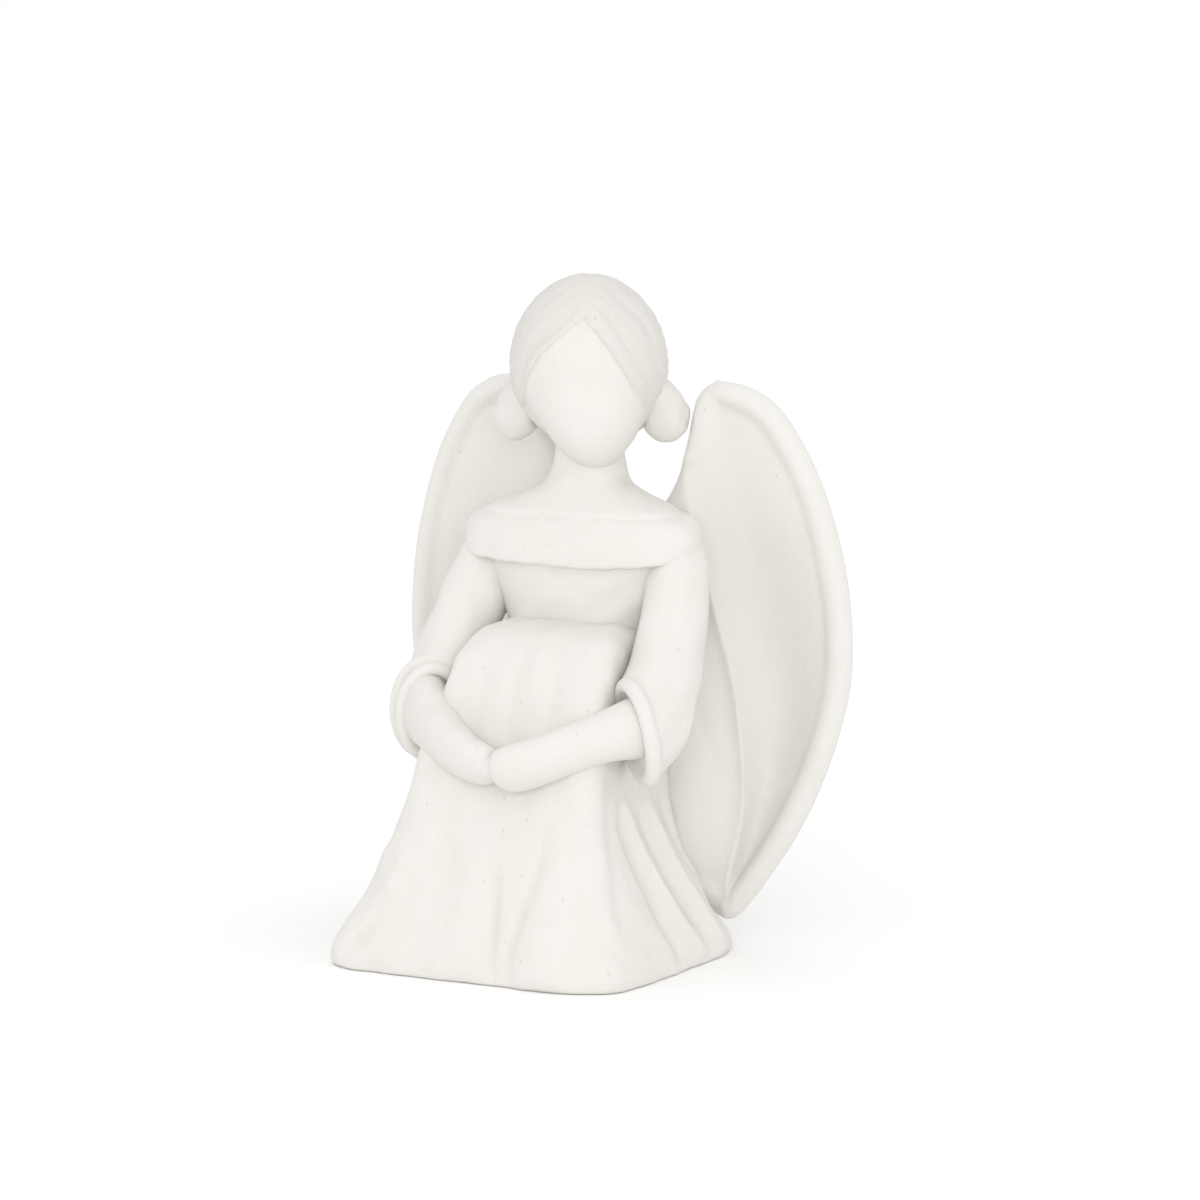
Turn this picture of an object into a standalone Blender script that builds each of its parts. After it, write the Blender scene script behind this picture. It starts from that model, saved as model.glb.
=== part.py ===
"""Seated angel figurine in cast resin: separate castings, pinned and bonded, on four felt pads.

Every casting is drawn in millimetres in the figure's own frame: the torso's axis is x = y = 0, the
figure faces -Y, its left side is +X and the table is z = 0. One empty carries the whole figure, so
that the origin lies under the middle of the bounding box.

Run with: blender --background --python part.py
"""

import math

import bmesh
import bpy
from mathutils import Matrix, Vector

MM = 0.001

# Driving dimensions, in millimetres
BOND_GAP = 0.35  # clearance left between bonded castings
HEAD_TURN = math.radians(20)  # the head looks a little to the figure's left

PAD_RADIUS, PAD_THICKNESS, PAD_CLEARANCE = 4.5, 1.4, 0.3
PAD_PLACES = {
    "front_right": (-30.0, -39.0),
    "front_left": (20.0, -36.5),
    "rear_left": (23.0, 3.0),
    "rear_right": (-24.0, 3.0),
}

DOWEL_RADIUS, DOWEL_CLEARANCE = 1.5, 0.25
DOWEL_SIDES = 16

WING_FRONT_Y = 6.2  # where the plane of the wings' rims crosses the figure's axis
WING_SWEEP = math.radians(10)  # each wing trails back by this much
WING_THICKNESS, WING_ROOT_THICKNESS = 4.6, 8.0
WING_RIM, WING_BOWL_DEPTH = 4.0, 7.0  # the flat band inside the outline, and the hollow inside that

# Gown: height, then the corners front right, front left, back left and back right, then their radius
GOWN_STATIONS = (
    (0.5, -44.4, -50.2, 29.5, -46.2, 35.8, 11.6, -33.5, 11.6, 8.5),
    (3.0, -45.8, -51.8, 30.7, -47.2, 36.8, 12.0, -34.6, 12.0, 8.5),
    (7.0, -44.2, -50.4, 29.6, -46.4, 35.0, 11.2, -33.2, 11.2, 8.5),
    (14.0, -39.6, -47.6, 27.3, -44.8, 30.8, 9.6, -30.0, 9.6, 8.5),
    (28.0, -33.0, -43.9, 24.4, -42.2, 23.2, 8.0, -23.0, 8.0, 8.5),
    (40.0, -28.4, -41.2, 22.8, -40.3, 17.8, 7.6, -18.2, 7.6, 8.5),
    (50.0, -25.6, -38.6, 21.6, -38.0, 16.2, 7.5, -16.4, 7.5, 8.0),
    (60.0, -23.6, -34.2, 20.8, -33.8, 15.6, 7.5, -15.6, 7.5, 8.0),
    (68.0, -22.2, -30.2, 20.2, -29.8, 15.2, 7.0, -15.2, 7.0, 8.0),
    (74.4, -21.2, -28.2, 19.7, -27.8, 14.7, 5.6, -14.7, 5.6, 7.2),
    (77.8, -18.4, -25.6, 17.2, -25.2, 13.4, 2.0, -13.4, 2.0, 6.6),
    (79.2, -13.4, -21.4, 12.8, -21.2, 10.6, -2.6, -10.6, -2.6, 5.8),
)
GOWN_RINGS, GOWN_CORNER_POINTS = 24, 9

# Bodice: height, middle's y, half width, half depth, squareness, and how far the front dips
BODICE_STATIONS = (
    (63.0, -1.5, 13.0, 8.0, 2.4, 0.0),
    (70.0, -1.5, 13.8, 8.8, 2.4, 0.0),
    (80.0, -1.9, 17.4, 10.4, 2.4, 0.0),
    (88.0, -2.5, 20.6, 11.3, 2.4, 0.5),
    (93.2, -2.8, 23.6, 11.6, 2.3, 2.0),
    (94.6, -3.2, 27.6, 12.0, 2.3, 3.2),
    (96.2, -3.3, 30.2, 12.8, 2.3, 3.4),
    (99.6, -3.2, 30.5, 12.8, 2.3, 2.8),
    (103.0, -2.8, 28.4, 12.0, 2.2, 2.0),
    (104.8, -2.3, 25.6, 11.0, 2.2, 1.6),
    (106.2, -1.5, 19.0, 9.8, 2.1, 0.8),
    (108.6, -0.6, 11.8, 9.0, 2.0, 0.2),
    (111.5, 0.0, 9.0, 8.8, 2.0, 0.0),
    (116.0, 0.0, 8.6, 8.6, 2.0, 0.0),
    (120.5, 0.0, 8.4, 8.4, 2.0, 0.0),
)
BODICE_RINGS, BODICE_POINTS = 34, 32

# Hair and skull: height, middle's y, half width, half depth
HAIR_STATIONS = (
    (118.5, 5.5, 8.0, 7.5),
    (121.5, 4.8, 12.6, 11.2),
    (126.0, 3.4, 16.4, 14.4),
    (132.0, 2.0, 18.3, 16.6),
    (138.0, 1.2, 18.7, 17.8),
    (145.0, 1.0, 17.8, 17.4),
    (151.0, 1.0, 14.9, 14.9),
    (156.0, 1.0, 10.2, 10.4),
    (158.7, 1.0, 5.6, 5.8),
    (159.6, 1.0, 1.6, 1.6),
)
HEAD_RINGS, HEAD_POINTS = 18, 28
SKULL_INSET = 1.5  # the face lies this far inside the hair
FACE_MIDDLE, FACE_HALF = (0.0, -1.7, 131.2), (14.4, 13.7, 16.6)
HAIRLINE = ((0.0, 150.5), (9.0, 139.5), (15.2, 127.0), (19.5, 112.0))  # half of it: x, height

BUN_MIDDLE, BUN_HALF = (18.2, 4.2, 126.4), (5.1, 5.1, 6.4)

# Sleeve of the left arm: middle x, y, z, direction of the arm x, y, z, half width, half height
SLEEVE_STATIONS = (
    (24.5, -0.5, 100.0, 0.15, -0.15, -0.97, 5.0, 6.0),
    (27.0, -2.5, 91.5, 0.10, -0.40, -0.90, 6.0, 6.6),
    (28.6, -8.5, 80.5, 0.05, -0.50, -0.86, 6.8, 7.2),
    (29.2, -15.5, 70.5, -0.15, -0.60, -0.78, 7.3, 8.6),
    (29.2, -21.5, 62.5, -0.50, -0.68, -0.50, 7.6, 10.6),
    (27.4, -27.0, 57.4, -0.82, -0.54, -0.16, 7.8, 12.4),
)
SLEEVE_RINGS, LIMB_POINTS = 14, 18
CUFF_LIP, CUFF_RINGS = 2.2, 4  # the cuff's wall, and how many of the sleeve's last rings are hollow
LIMB_UP = Vector((-0.45, -0.55, 0.70))  # the side of the arm that becomes the top of the cuff

# Forearm and hand of the left arm: middle x, y, z, half width, half height
HAND_STATIONS = (
    (31.0, -24.5, 59.4, 4.4, 4.9),
    (27.5, -28.5, 58.4, 4.9, 5.6),
    (21.5, -35.2, 56.6, 5.1, 5.8),
    (14.2, -40.2, 53.6, 4.9, 5.8),
    (8.2, -43.0, 51.0, 4.7, 6.3),
    (3.2, -44.2, 50.0, 4.0, 6.0),
    (0.4, -44.7, 49.8, 2.6, 4.4),
    (-1.0, -44.9, 49.8, 1.0, 1.8),
)
HAND_RINGS = 16

# Wing outline from its top, down the outer edge and back up the inner edge: span, height
WING_OUTLINE = (
    (29.0, 134.0), (36.0, 132.6), (44.0, 127.2), (52.8, 112.4), (58.6, 93.4), (61.0, 74.0),
    (59.4, 56.5), (53.4, 38.5), (46.0, 24.0), (37.0, 10.5), (31.5, 6.0), (25.0, 10.0),
    (15.0, 22.0), (6.5, 40.0), (3.5, 58.0), (3.5, 76.0), (6.0, 89.0), (11.5, 99.0),
    (17.6, 109.0), (21.4, 119.5), (24.2, 129.5),
)
WING_MIDDLE = (32.0, 70.0)
WING_RIDGE = ((6.0, 30.5), (14.4, 30.0), (29.4, 32.8), (44.0, 33.4), (63.2, 30.8), (77.5, 27.0),
              (96.5, 21.5), (110.0, 15.0), (134.0, 12.0))  # height, span of the forward ridge
WING_RING_SHARES, WING_EDGE_POINTS = (0.22, 0.42, 0.6, 0.75, 0.87, 0.94, 1.0), 44

# Dowels: name, one end and the other end
DOWELS = {
    "neck_dowel": ((0.0, 0.0, 112.0), (0.0, 0.0, 130.0)),
    "left_shoulder_dowel": ((15.5, -1.5, 91.0), (27.5, -1.5, 91.0)),
    "right_shoulder_dowel": ((-15.5, -1.5, 91.0), (-27.5, -1.5, 91.0)),
    "left_wing_upper_dowel": ((8.5, 1.0, 84.0), (8.5, 11.5, 84.0)),
    "right_wing_upper_dowel": ((-8.5, 1.0, 84.0), (-8.5, 11.5, 84.0)),
    "left_wing_lower_dowel": ((9.5, 1.0, 48.0), (9.5, 11.5, 48.0)),
    "right_wing_lower_dowel": ((-9.5, 1.0, 48.0), (-9.5, 11.5, 48.0)),
}

RESIN, FELT, STEEL = "painted_resin", "felt", "dowel_steel"
FINISHES = {
    RESIN: ((0.86, 0.85, 0.82, 1.0), 0.62, 0.0),
    FELT: ((0.80, 0.79, 0.76, 1.0), 0.95, 0.0),
    STEEL: ((0.60, 0.60, 0.61, 1.0), 0.35, 1.0),
}


def clear_scene():
    for obj in list(bpy.data.objects):
        bpy.data.objects.remove(obj)


def new_collection(name):
    collection = bpy.data.collections.new(name)
    bpy.context.scene.collection.children.link(collection)
    return collection


def new_material(name):
    colour, roughness, metallic = FINISHES[name]
    material = bpy.data.materials.new(name)
    material.use_nodes = True
    shader = material.node_tree.nodes["Principled BSDF"]
    shader.inputs["Base Color"].default_value = colour
    shader.inputs["Roughness"].default_value = roughness
    shader.inputs["Metallic"].default_value = metallic
    return material


def catmull_rom(rows, position):
    """The rows' values at a position from 0 to 1 along them, on a smooth curve through every row."""
    steps = len(rows) - 1
    place = min(position * steps, steps - 1e-9)
    i = int(place)
    t = place - i
    before, start, end, after = (rows[min(max(k, 0), steps)] for k in (i - 1, i, i + 1, i + 2))
    return [
        0.5 * (2 * b + (c - a) * t + (2 * a - 5 * b + 4 * c - d) * t**2 + (3 * b - a - 3 * c + d) * t**3)
        for a, b, c, d in zip(before, start, end, after)
    ]


def through(rows, count):
    """count rows, evenly spaced along the smooth curve through the given ones."""
    return [catmull_rom(rows, k / (count - 1)) for k in range(count)]


def between(pairs, value):
    """Linear reading of (value, result) pairs."""
    for (low, first), (high, second) in zip(pairs, pairs[1:]):
        if value <= high:
            share = max(0.0, (value - low) / (high - low))
            return first + share * (second - first)
    return pairs[-1][1]


class Workshop:
    """Holds the frame empty, the two collections and the materials, and makes objects in them."""

    def __init__(self):
        self.parts = new_collection("angel_figurine")
        self.cutters = new_collection("cutters")
        self.materials = {name: new_material(name) for name in FINISHES}
        self.frame = bpy.data.objects.new("figure_frame", None)
        self.parts.objects.link(self.frame)

    def add(self, name, mesh, finish=None):
        """A part with a finish, or a hidden cutter without one."""
        obj = bpy.data.objects.new(name, mesh)
        (self.parts if finish else self.cutters).objects.link(obj)
        obj.parent = self.frame
        if finish:
            mesh.materials.append(self.materials[finish])
            mesh.shade_smooth()
            mesh.set_sharp_from_angle(angle=math.radians(45))
        else:
            obj.hide_render = True
            obj.display_type = "WIRE"
        return obj

    def cut(self, part, *cutters):
        self.boolean(part, "DIFFERENCE", cutters)

    def join(self, part, *others):
        self.boolean(part, "UNION", others)

    @staticmethod
    def boolean(part, operation, others):
        for other in others:
            modifier = part.modifiers.new(other.name, "BOOLEAN")
            modifier.operation = operation
            modifier.object = other


def centre(shop):
    """Moves the frame so that the origin lies under the middle of the parts' bounding box."""
    bpy.context.view_layer.update()
    graph = bpy.context.evaluated_depsgraph_get()
    corners = []
    for part in shop.parts.objects:
        if part.type == "MESH":
            done = part.evaluated_get(graph)
            corners += [done.matrix_world @ Vector(corner) for corner in done.bound_box]
    for axis in (0, 1):
        values = [corner[axis] for corner in corners]
        shop.frame.location[axis] = -(min(values) + max(values)) / 2


def mesh_of(name, bm):
    bmesh.ops.scale(bm, vec=(MM, MM, MM), verts=bm.verts)
    bmesh.ops.recalc_face_normals(bm, faces=bm.faces)
    mesh = bpy.data.meshes.new(name)
    bm.to_mesh(mesh)
    bm.free()
    return mesh


def lofted(name, rings):
    """A closed solid through rings of the same number of points, with flat ends."""
    bm = bmesh.new()
    loops = [[bm.verts.new(point) for point in ring] for ring in rings]
    count = len(loops[0])
    for low, high in zip(loops, loops[1:]):
        for i in range(count):
            k = (i + 1) % count
            bm.faces.new((low[i], low[k], high[k], high[i]))
    bm.faces.new(loops[0][::-1])
    bm.faces.new(loops[-1])
    return mesh_of(name, bm)


def cylinder(name, start, end, radius, sides=DOWEL_SIDES):
    axis = Vector(end) - Vector(start)
    bm = bmesh.new()
    bmesh.ops.create_cone(
        bm, cap_ends=True, segments=sides, radius1=radius, radius2=radius, depth=axis.length
    )
    turn = axis.to_track_quat("Z", "Y").to_matrix().to_4x4()
    middle = (Vector(start) + Vector(end)) / 2
    bmesh.ops.transform(bm, matrix=Matrix.Translation(middle) @ turn, verts=bm.verts)
    return mesh_of(name, bm)


def ellipsoid(name, middle, half, segments=24, rings=14):
    bm = bmesh.new()
    bmesh.ops.create_uvsphere(bm, u_segments=segments, v_segments=rings, radius=1.0)
    shape = Matrix.Translation(middle) @ Matrix.Diagonal((*half, 1.0))
    bmesh.ops.transform(bm, matrix=shape, verts=bm.verts)
    return mesh_of(name, bm)


def power(value, exponent):
    return math.copysign(abs(value) ** exponent, value)


def superellipse(middle_y, half_x, half_y, squareness, height, count, dip=0.0):
    """A level ring. dip lowers its front, which is the -Y side."""
    ring = []
    for k in range(count):
        angle = math.tau * k / count
        x = half_x * power(math.cos(angle), 2 / squareness)
        y = half_y * power(math.sin(angle), 2 / squareness)
        front = (1 - y / half_y) / 2
        ring.append(Vector((x, middle_y + y, height - dip * front**2)))
    return ring


def rounded_quad(corners, radius, height):
    """A level ring with four rounded corners, which run anticlockwise seen from above."""
    ring = []
    for i, corner in enumerate(corners):
        back = (corners[i - 1] - corner).normalized()
        ahead = (corners[(i + 1) % 4] - corner).normalized()
        half_angle = back.angle(ahead) / 2
        middle = corner + (back + ahead).normalized() * radius / math.sin(half_angle)
        start = corner + back * radius / math.tan(half_angle) - middle
        sweep = math.pi - 2 * half_angle
        for k in range(GOWN_CORNER_POINTS):
            turn = sweep * k / (GOWN_CORNER_POINTS - 1)
            x = start.x * math.cos(turn) - start.y * math.sin(turn)
            y = start.x * math.sin(turn) + start.y * math.cos(turn)
            ring.append(Vector((middle.x + x, middle.y + y, height)))
    return ring


def gown_mesh(name, grow=0.0):
    rings = []
    outward = [Vector((-1, -1)), Vector((1, -1)), Vector((1, 1)), Vector((-1, 1))]
    rows = through(GOWN_STATIONS, GOWN_RINGS)
    for row in rows:
        corners = [Vector(row[k : k + 2]) + way * grow for k, way in zip((1, 3, 5, 7), outward)]
        rings.append(rounded_quad(corners, row[9] + grow, row[0]))
    for point in rings[-1]:
        point.z += grow
    return lofted(name, rings)


def bodice_mesh(name, grow=0.0):
    rings = []
    for row in through(BODICE_STATIONS, BODICE_RINGS):
        height, middle_y, half_x, half_y, squareness, dip = row
        rings.append(
            superellipse(middle_y, half_x + grow, half_y + grow, squareness, height, BODICE_POINTS, dip)
        )
    for point in rings[0]:
        point.z -= grow
    for point in rings[-1]:
        point.z += grow
    return lofted(name, rings)


def turned_head(ring):
    turn = Matrix.Rotation(HEAD_TURN, 3, "Z")
    return [turn @ point for point in ring]


def hair_mesh(name, grow=0.0):
    rings = []
    rows = through(HAIR_STATIONS, HEAD_RINGS)
    for height, middle_y, half_x, half_y in rows:
        rings.append(superellipse(middle_y, half_x + grow, half_y + grow, 2.0, height, HEAD_POINTS))
    for point in rings[0]:
        point.z -= grow
    for point in rings[-1]:
        point.z += grow
    return lofted(name, [turned_head(ring) for ring in rings])


def face_mesh(name, grow=0.0):
    half = [size + grow for size in FACE_HALF]
    mesh = ellipsoid(name, FACE_MIDDLE, half)
    mesh.transform(Matrix.Rotation(HEAD_TURN, 4, "Z"))
    return mesh


def hairline_mesh(name):
    """A wedge that clears the hair from the face: its top is the parting's point."""
    half = list(HAIRLINE)
    outline = half + [(-x, height) for x, height in reversed(half[1:])]
    rings = [[Vector((x, y, height)) for x, height in outline] for y in (-30.0, -1.0)]
    return lofted(name, [turned_head(ring) for ring in rings])


def mirrored(point, side):
    return Vector((side * point[0], point[1], point[2]))


def limb_ring(middle, direction, half_width, half_height, side):
    """A ring across a limb, widest along its own up direction. side is 1 on the left, -1 on the right."""
    ahead = Vector(direction).normalized()
    up = (LIMB_UP - LIMB_UP.dot(ahead) * ahead).normalized()
    across = ahead.cross(up)
    ring = []
    for k in range(LIMB_POINTS):
        angle = math.tau * k / LIMB_POINTS
        offset = across * half_width * math.cos(angle) + up * half_height * math.sin(angle)
        ring.append(mirrored(Vector(middle) + offset, side))
    return ring


def sleeve_mesh(name, side):
    rings = []
    for row in through(SLEEVE_STATIONS, SLEEVE_RINGS):
        rings.append(limb_ring(row[0:3], row[3:6], row[6], row[7], side))
    return lofted(name, rings)


def cuff_recess_mesh(name, side):
    """The hollow of the bell sleeve, around the forearm."""
    rows = through(SLEEVE_STATIONS, SLEEVE_RINGS)[-CUFF_RINGS:]
    ahead = Vector(rows[-1][3:6]).normalized()
    rows.append([*(Vector(rows[-1][0:3]) + ahead), *rows[-1][3:8]])
    rings = []
    for row in rows:
        rings.append(limb_ring(row[0:3], row[3:6], row[6] - CUFF_LIP, row[7] - CUFF_LIP, side))
    return lofted(name, rings)


def hand_mesh(name, side, grow=0.0):
    rows = through(HAND_STATIONS, HAND_RINGS)
    middles = [Vector(row[0:3]) for row in rows]
    rings = []
    for i, row in enumerate(rows):
        ahead = middles[min(i + 1, len(rows) - 1)] - middles[max(i - 1, 0)]
        middle = middles[i]
        if i in (0, len(rows) - 1):
            middle = middle + ahead.normalized() * (grow if i else -grow)
        rings.append(limb_ring(middle, ahead, row[3] + grow, row[4] + grow, side))
    return lofted(name, rings)


def wing_hollow(span, height):
    """How deep the wing's bowl is here: nothing at the ridge, the rim and both tips."""
    ridge = between(WING_RIDGE, height)
    rim = between(sorted((z, s) for s, z in WING_OUTLINE[:11]), height) - WING_RIM
    share = min(max((span - ridge) / max(rim - ridge, 1.0), 0.0), 1.0)
    low, high = WING_OUTLINE[10][1], WING_OUTLINE[0][1]
    along = min(max((height - low) / (high - low), 0.0), 1.0)
    fade = math.sin(math.pi * along) ** 0.5
    return WING_BOWL_DEPTH * fade * (1 - math.cos(math.tau * share**0.85)) / 2


def wing_point(span, height, side):
    hollow = wing_hollow(span, height)
    x = span * math.cos(WING_SWEEP) - hollow * math.sin(WING_SWEEP)
    y = WING_FRONT_Y + span * math.sin(WING_SWEEP) + hollow * math.cos(WING_SWEEP)
    return Vector((side * x, y, height))


def wing_mesh(name, side):
    """The wing's front as an open surface, in rings that grow from its middle to its outline."""
    outline = [*WING_OUTLINE, WING_OUTLINE[0]]
    edge = through(outline, WING_EDGE_POINTS + 1)[:-1]
    bm = bmesh.new()
    hub = bm.verts.new(wing_point(*WING_MIDDLE, side))
    loops = []
    for share in WING_RING_SHARES:
        loop = []
        for span, height in edge:
            s = WING_MIDDLE[0] + share * (span - WING_MIDDLE[0])
            z = WING_MIDDLE[1] + share * (height - WING_MIDDLE[1])
            loop.append(bm.verts.new(wing_point(s, z, side)))
        loops.append(loop)
    for i in range(WING_EDGE_POINTS):
        k = (i + 1) % WING_EDGE_POINTS
        bm.faces.new((hub, loops[0][i], loops[0][k]))
        for inner, outer in zip(loops, loops[1:]):
            bm.faces.new((inner[i], outer[i], outer[k], inner[k]))
    mesh = mesh_of(name, bm)
    if mesh.polygons[0].normal.y > 0:
        mesh.flip_normals()
    return mesh


def make_wing(shop, name, side):
    """The shell is thickest along the figure's spine, where it is bonded on."""
    wing = shop.add(name, wing_mesh(name, side), RESIN)
    girth = wing.vertex_groups.new(name="girth")
    thin = WING_THICKNESS / WING_ROOT_THICKNESS
    for vertex in wing.data.vertices:
        out = min(1.0, abs(vertex.co.x) / (WING_MIDDLE[0] * MM))
        girth.add([vertex.index], 1 - (1 - thin) * out, "REPLACE")
    shell = wing.modifiers.new("thickness", "SOLIDIFY")
    shell.thickness = WING_ROOT_THICKNESS * MM
    shell.offset = -1
    shell.vertex_group = girth.name
    edge = wing.modifiers.new("rounded_edge", "BEVEL")
    edge.width = 1.4 * MM
    edge.segments = 2
    edge.limit_method = "ANGLE"
    edge.angle_limit = math.radians(50)
    return wing


def make_pads(shop, gown):
    """Felt pads in shallow pockets, which stand proud of the gown's underside."""
    for corner, (x, y) in PAD_PLACES.items():
        name = f"felt_pad_{corner}"
        pad = cylinder(name, (x, y, 0), (x, y, PAD_THICKNESS), PAD_RADIUS, sides=24)
        shop.add(name, pad, FELT)
        roof = PAD_THICKNESS + PAD_CLEARANCE
        pocket = cylinder(
            f"pocket_{corner}", (x, y, -1), (x, y, roof), PAD_RADIUS + PAD_CLEARANCE, sides=24
        )
        shop.cut(gown, shop.add(f"pocket_{corner}", pocket))


def make_dowel(shop, name, *held_by):
    """A steel pin, and its hole in each casting that it holds."""
    start, end = (Vector(point) for point in DOWELS[name])
    shop.add(name, cylinder(name, start, end, DOWEL_RADIUS), STEEL)
    reach = (end - start).normalized() * DOWEL_CLEARANCE
    hole_radius = DOWEL_RADIUS + DOWEL_CLEARANCE
    hole = shop.add(f"{name}_hole", cylinder(name, start - reach, end + reach, hole_radius))
    for casting in held_by:
        shop.cut(casting, hole)


def make_head(shop, bodice_room):
    head = shop.add("head", hair_mesh("head"), RESIN)
    shop.cut(head, shop.add("hairline", hairline_mesh("hairline")))
    shop.join(
        head,
        shop.add("skull", hair_mesh("skull", -SKULL_INSET)),
        shop.add("face", face_mesh("face")),
    )
    shop.cut(head, bodice_room)
    return head


def make_buns(shop):
    hair_room = shop.add("hair_room", hair_mesh("hair_room", BOND_GAP))
    for side_name, side in (("left", 1), ("right", -1)):
        name = f"{side_name}_hair_bun"
        mesh = ellipsoid(name, mirrored(BUN_MIDDLE, side), BUN_HALF, segments=18, rings=12)
        mesh.transform(Matrix.Rotation(HEAD_TURN, 4, "Z"))
        shop.cut(shop.add(name, mesh, RESIN), hair_room)


def make_arms(shop, bodice_room, gown_room):
    """Each arm's bell sleeve, and the forearm with its hand. The left hand lies over the right one."""
    sleeves = {}
    hands = {}
    for side_name, side in (("left", 1), ("right", -1)):
        name = f"{side_name}_sleeve"
        sleeve = shop.add(name, sleeve_mesh(name, side), RESIN)
        recess = shop.add(f"{name}_recess", cuff_recess_mesh(name, side))
        room = shop.add(f"{side_name}_hand_room", hand_mesh(name, side, BOND_GAP))
        shop.cut(sleeve, bodice_room, gown_room, recess, room)
        sleeves[side_name] = sleeve
        name = f"{side_name}_hand"
        hands[side_name] = shop.add(name, hand_mesh(name, side), RESIN)
        shop.cut(hands[side_name], gown_room)
    shop.cut(hands["right"], bpy.data.objects["left_hand_room"])
    return sleeves


def main():
    clear_scene()
    shop = Workshop()
    bodice_room = shop.add("bodice_room", bodice_mesh("bodice_room", BOND_GAP))
    gown_room = shop.add("gown_room", gown_mesh("gown_room", BOND_GAP))

    gown = shop.add("gown", gown_mesh("gown"), RESIN)
    shop.cut(gown, bodice_room)
    bodice = shop.add("bodice", bodice_mesh("bodice"), RESIN)
    head = make_head(shop, bodice_room)
    make_buns(shop)
    sleeves = make_arms(shop, bodice_room, gown_room)
    wings = {}
    for side_name, side in (("left", 1), ("right", -1)):
        wings[side_name] = make_wing(shop, f"{side_name}_wing", side)
        shop.cut(wings[side_name], bodice_room, gown_room)

    make_dowel(shop, "neck_dowel", bodice, head)
    for side_name in ("left", "right"):
        make_dowel(shop, f"{side_name}_shoulder_dowel", bodice, sleeves[side_name])
        make_dowel(shop, f"{side_name}_wing_upper_dowel", bodice, wings[side_name])
        make_dowel(shop, f"{side_name}_wing_lower_dowel", gown, wings[side_name])
    make_pads(shop, gown)
    centre(shop)


main()
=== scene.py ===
"""Looks of the seated angel figurine: hand-modelled off-white cast resin on a pale table.

Every visible casting is sculpted as a field, the distance from its surface in millimetres, sampled on
a block of points and turned into a mesh. The figure's own frame is used throughout: the torso's axis
is x = y = 0, the figure faces -y, its left is +x and the table is z = 0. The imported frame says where
that axis stands.
"""

import math

import bpy
import numpy as np
import openvdb
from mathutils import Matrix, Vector


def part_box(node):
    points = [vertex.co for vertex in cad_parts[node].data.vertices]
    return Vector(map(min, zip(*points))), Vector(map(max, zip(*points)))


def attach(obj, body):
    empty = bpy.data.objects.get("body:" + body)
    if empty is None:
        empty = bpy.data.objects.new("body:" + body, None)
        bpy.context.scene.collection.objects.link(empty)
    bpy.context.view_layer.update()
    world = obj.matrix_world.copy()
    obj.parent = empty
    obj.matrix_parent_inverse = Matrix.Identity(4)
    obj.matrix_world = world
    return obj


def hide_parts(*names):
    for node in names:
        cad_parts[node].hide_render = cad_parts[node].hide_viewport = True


MM = 0.001
FIELD_LIMIT = 4.0  # distances beyond this are cut off, in millimetres

# Sample spacing in millimetres
FINE, MEDIUM, COARSE = ((0.42, 0.5, 0.58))

CREASE_REACH = 1.1  # half width of the blur that finds creases and convex edges, where painted shade and a painted highlight go, in millimetres
TINY = 1e-6  # keeps a division by a distance from failing where it is 0

# How many points a smooth curve is followed by
TABLE_STEPS, HAIRLINE_STEPS, OUTLINE_STEPS, RIM_STEPS, OUTER_STEPS = 400, 30, 140, 90, 70

# Hand-modelled dents: height, size and seed
WAVES, WAVE_LENGTHS, WAVES_SUM = 7, (0.8, 1.9), 3.2  # how many, in shares of the size, their usual sum
GOWN_DENTS, GOWN_RIPPLES, GOWN_TOP_DENTS = (0.32, 9.0, 11), (0.08, 4.0, 12), (0.25, 7.0, 13)
TORSO_DENTS, COLLAR_DENTS = (0.20, 8.0, 21), (0.20, 7.0, 23)
FACE_DENTS, HAIR_DENTS, STRAND_WANDER = (0.10, 9.0, 31), (0.10, 10.0, 32), (1.5, 16.0, 33)
BUN_DENTS, SLEEVE_DENTS, HAND_DENTS = (0.18, 5.0, 41), (0.22, 7.0, 50), (0.15, 6.5, 60)
WING_FRONT_DENTS, WING_BACK_DENTS = (0.25, 12.0, 71), (0.3, 12.0, 73)

# Sampling blocks: lowest and highest corner. The arms' are the left one's, and the wing's is span,
# depth and height.
GOWN_BLOCK = (-48.0, -56.0, -1.5), (39.0, 16.0, 81.0)
BODICE_BLOCK = (-33.0, -19.0, 58.0), (33.0, 13.0, 123.0)
HEAD_BLOCK = (-21.0, -21.0, 110.0), (21.0, 22.0, 162.5)
SLEEVE_BLOCK = (14.0, -38.0, 40.0), (40.0, 10.0, 103.0)
HAND_BLOCK = (-4.0, -52.0, 39.0), (35.0, -14.0, 71.0)
WING_BLOCK = (0.0, -6.0, 2.0), (64.0, 19.0, 137.0)
BUN_BELOW, BUN_ABOVE = Vector((9, 9, 10)), Vector((9, 9, 11))  # reach of the block about the bun's middle

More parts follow.
